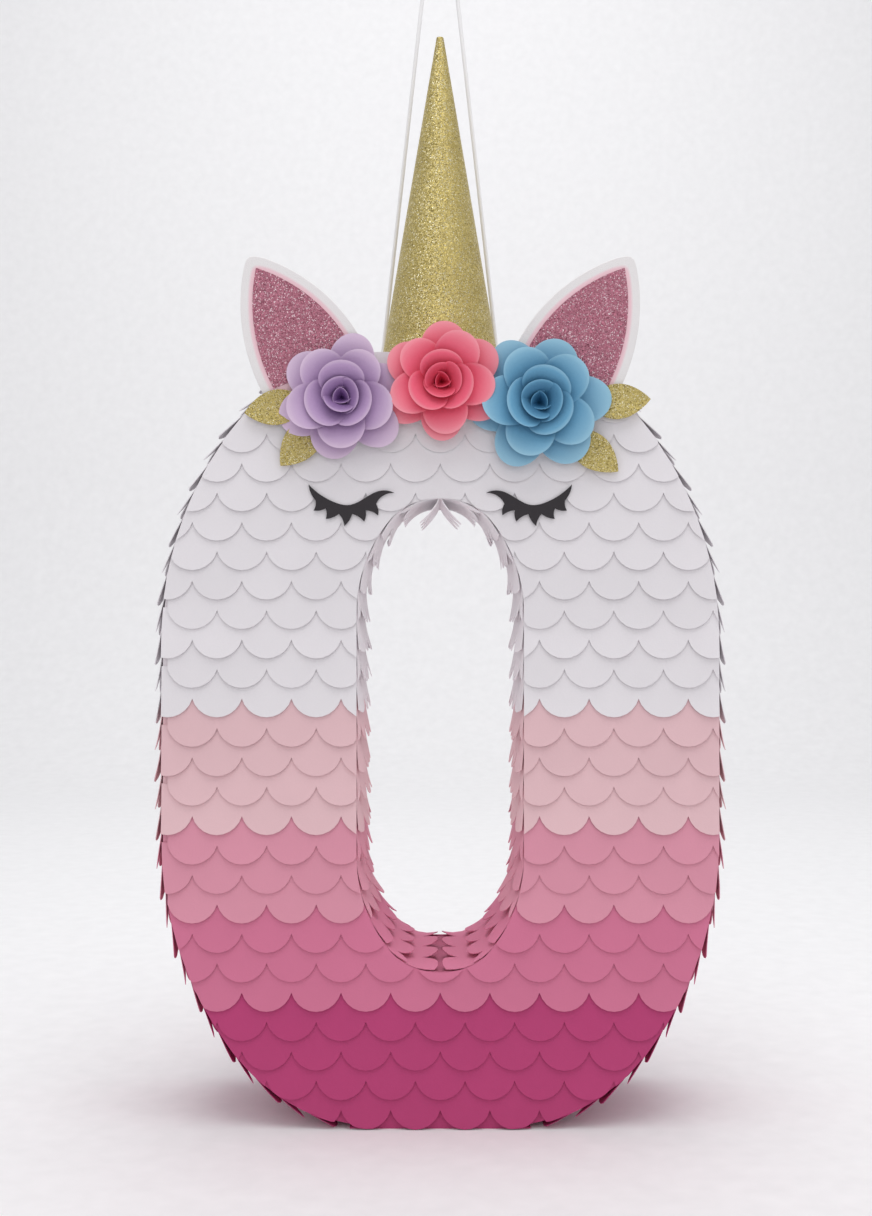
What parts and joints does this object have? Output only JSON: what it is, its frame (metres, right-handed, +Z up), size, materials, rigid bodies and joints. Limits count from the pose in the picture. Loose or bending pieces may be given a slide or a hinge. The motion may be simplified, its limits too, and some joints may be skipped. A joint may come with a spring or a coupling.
{
  "type": "pinata",
  "caption": "Hanging party pinata shaped as a digit 0, with rows of scalloped card in pink shades, a horn, ears, paper roses, closed lashes, a cord loop and a filling flap.",
  "frame": {"origin": "middle of the flat underside that the pinata stands on", "axes": "+Z up towards the horn, -Y towards the decorated front, +X to the right seen from the front"},
  "size_m": [0.4052, 0.1542, 0.8596],
  "materials": {
    "white_card": "matte lavender-white card",
    "pale_pink_card": "matte pale pink card",
    "medium_pink_card": "matte medium pink card",
    "deep_pink_card": "matte deep pink card",
    "magenta_card": "matte magenta card",
    "white_board": "white-faced corrugated board",
    "gold_glitter_card": "gold glitter on card",
    "pink_glitter_card": "rose glitter on card",
    "white_foam_sheet": "matte white craft sheet",
    "lilac_paper": "thin lilac paper",
    "rose_pink_paper": "thin rose pink paper",
    "blue_paper": "thin sky blue paper",
    "black_card": "matte charcoal card",
    "white_cord": "white twisted cotton",
    "paper_tape": "white paper tape",
    "satin_ribbon": "pink satin ribbon"
  },
  "bodies": {
    "shell": {"back_panel": "white_board", "back_scales_deep_pink": "deep_pink_card", "back_scales_magenta": "magenta_card", "back_scales_medium_pink": "medium_pink_card", "back_scales_pale_pink": "pale_pink_card", "back_scales_white": "white_card", "base_strip": "magenta_card", "blue_rose_bud": "blue_paper", "blue_rose_cup": "blue_paper", "blue_rose_middle_petals": "blue_paper", "blue_rose_outer_petals": "blue_paper", "cord_knots": "white_cord", "crown_strip": "white_card", "ear_left": "white_foam_sheet", "ear_lining_left": "pink_glitter_card", "ear_lining_right": "pink_glitter_card", "ear_right": "white_foam_sheet", "eyelash_left": "black_card", "eyelash_right": "black_card", "front_panel": "white_board", "front_scales_deep_pink": "deep_pink_card", "front_scales_magenta": "magenta_card", "front_scales_medium_pink": "medium_pink_card", "front_scales_pale_pink": "pale_pink_card", "front_scales_white": "white_card", "hanger_plate": "white_board", "hinge_tape_fixed": "paper_tape", "hole_crest_strip": "white_card", "hole_scales_deep_pink": "deep_pink_card", "hole_scales_medium_pink": "medium_pink_card", "hole_scales_pale_pink": "pale_pink_card", "hole_scales_white": "white_card", "horn": "gold_glitter_card", "horn_glue_disc": "white_card", "inner_rim": "white_board", "leaf_left_lower": "gold_glitter_card", "leaf_left_upper": "gold_glitter_card", "leaf_right_lower": "gold_glitter_card", "leaf_right_upper": "gold_glitter_card", "lilac_rose_bud": "lilac_paper", "lilac_rose_cup": "lilac_paper", "lilac_rose_middle_petals": "lilac_paper", "lilac_rose_outer_petals": "lilac_paper", "outer_rim": "white_board", "outer_scales_deep_pink": "deep_pink_card", "outer_scales_magenta": "magenta_card", "outer_scales_medium_pink": "medium_pink_card", "outer_scales_pale_pink": "pale_pink_card", "outer_scales_white": "white_card", "pink_rose_bud": "rose_pink_paper", "pink_rose_cup": "rose_pink_paper", "pink_rose_middle_petals": "rose_pink_paper", "pink_rose_outer_petals": "rose_pink_paper"},
    "flap": {"fill_flap": "white_board", "flap_scales": "white_card", "hinge_tape_moving": "paper_tape", "pull_tab": "satin_ribbon"},
    "cord_loop": {"hanging_cord": "white_cord"}
  },
  "joints": [
    {"name": "flap_hinge", "type": "hinge", "parent": "shell", "child": "flap", "pos_m": [0, 0.061, 0.528], "axis": [1, 0, 0], "range_deg": [0, 100]},
    {"name": "cord_lean", "type": "hinge", "parent": "shell", "child": "cord_loop", "pos_m": [0, 0.03, 0.5486], "axis": [1, 0, 0], "range_deg": [-35, 35]}
  ]
}
